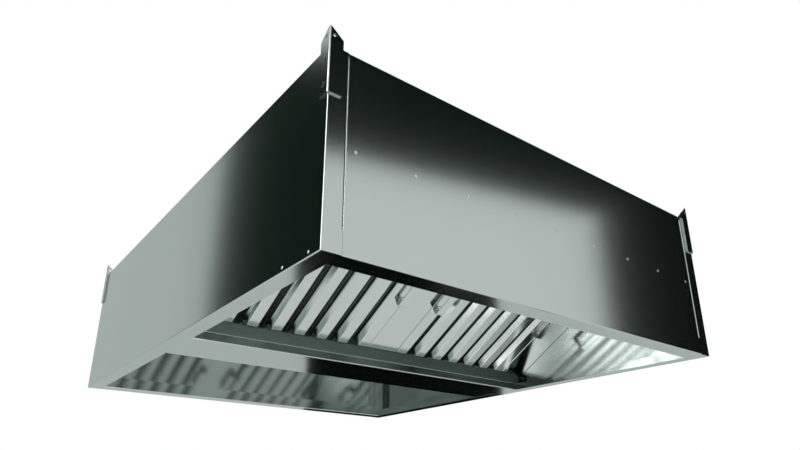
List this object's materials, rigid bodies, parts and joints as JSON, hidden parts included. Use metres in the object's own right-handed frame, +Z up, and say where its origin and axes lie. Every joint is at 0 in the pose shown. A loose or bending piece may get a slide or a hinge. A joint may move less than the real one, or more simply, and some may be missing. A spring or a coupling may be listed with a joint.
{
  "type": "commercial exhaust hood",
  "caption": "Hanging stainless canopy exhaust hood, open below, with a bridging pan and grease trough across the middle and lift-out baffle filter cassettes on two sloping banks.",
  "frame": {"origin": "centre of the opening, on the underside of the rim", "axes": "+X along the short side, +Y along the long side towards the back, +Z up; the front panel is at minus Y"},
  "size_m": [1.208, 1.508, 0.46],
  "materials": {
    "hood_steel": "satin",
    "filter_steel": "satin",
    "handle_steel": "satin",
    "bracket_steel": "satin",
    "fastener_steel": "bright",
    "galvanised_top": "satin"
  },
  "bodies": {
    "hood": {"back_cheek_rivets": "fastener_steel", "back_filter_rail": "hood_steel", "back_filter_rest": "hood_steel", "back_left_filler": "hood_steel", "back_left_hanger": "bracket_steel", "back_mullion": "hood_steel", "back_panel": "hood_steel", "back_plenum_cheek": "hood_steel", "back_right_filler": "hood_steel", "back_right_hanger": "bracket_steel", "back_stiffener": "hood_steel", "back_stiffener_rivets": "fastener_steel", "bridging_pan": "hood_steel", "collar_rivets": "fastener_steel", "duct_collar": "galvanised_top", "front_cheek_rivets": "fastener_steel", "front_filter_rail": "hood_steel", "front_filter_rest": "hood_steel", "front_left_filler": "hood_steel", "front_left_hanger": "bracket_steel", "front_mullion": "hood_steel", "front_panel": "hood_steel", "front_plenum_cheek": "hood_steel", "front_right_filler": "hood_steel", "front_right_hanger": "bracket_steel", "front_stiffener": "hood_steel", "front_stiffener_rivets": "fastener_steel", "grease_trough": "hood_steel", "hanger_bolts": "fastener_steel", "hanger_nuts": "fastener_steel", "left_side_panel": "hood_steel", "right_side_panel": "hood_steel", "side_rivets": "fastener_steel", "top_panel": "galvanised_top"},
    "front_left_filter": {"front_left_filter_frame": "filter_steel", "front_left_filter_front_baffles": "filter_steel", "front_left_filter_handles": "handle_steel", "front_left_filter_rear_baffles": "filter_steel"},
    "front_right_filter": {"front_right_filter_frame": "filter_steel", "front_right_filter_front_baffles": "filter_steel", "front_right_filter_handles": "handle_steel", "front_right_filter_rear_baffles": "filter_steel"},
    "back_left_filter": {"back_left_filter_frame": "filter_steel", "back_left_filter_front_baffles": "filter_steel", "back_left_filter_handles": "handle_steel", "back_left_filter_rear_baffles": "filter_steel"},
    "back_right_filter": {"back_right_filter_frame": "filter_steel", "back_right_filter_front_baffles": "filter_steel", "back_right_filter_handles": "handle_steel", "back_right_filter_rear_baffles": "filter_steel"}
  },
  "joints": [
    {"name": "front_left_filter_lift", "type": "slide", "parent": "hood", "child": "front_left_filter", "axis": [0, -0.866, 0.5], "range_m": [0, 0.02]},
    {"name": "front_right_filter_lift", "type": "slide", "parent": "hood", "child": "front_right_filter", "axis": [0, -0.866, 0.5], "range_m": [0, 0.02]},
    {"name": "back_left_filter_lift", "type": "slide", "parent": "hood", "child": "back_left_filter", "axis": [0, 0.866, 0.5], "range_m": [0, 0.02]},
    {"name": "back_right_filter_lift", "type": "slide", "parent": "hood", "child": "back_right_filter", "axis": [0, 0.866, 0.5], "range_m": [0, 0.02]}
  ]
}
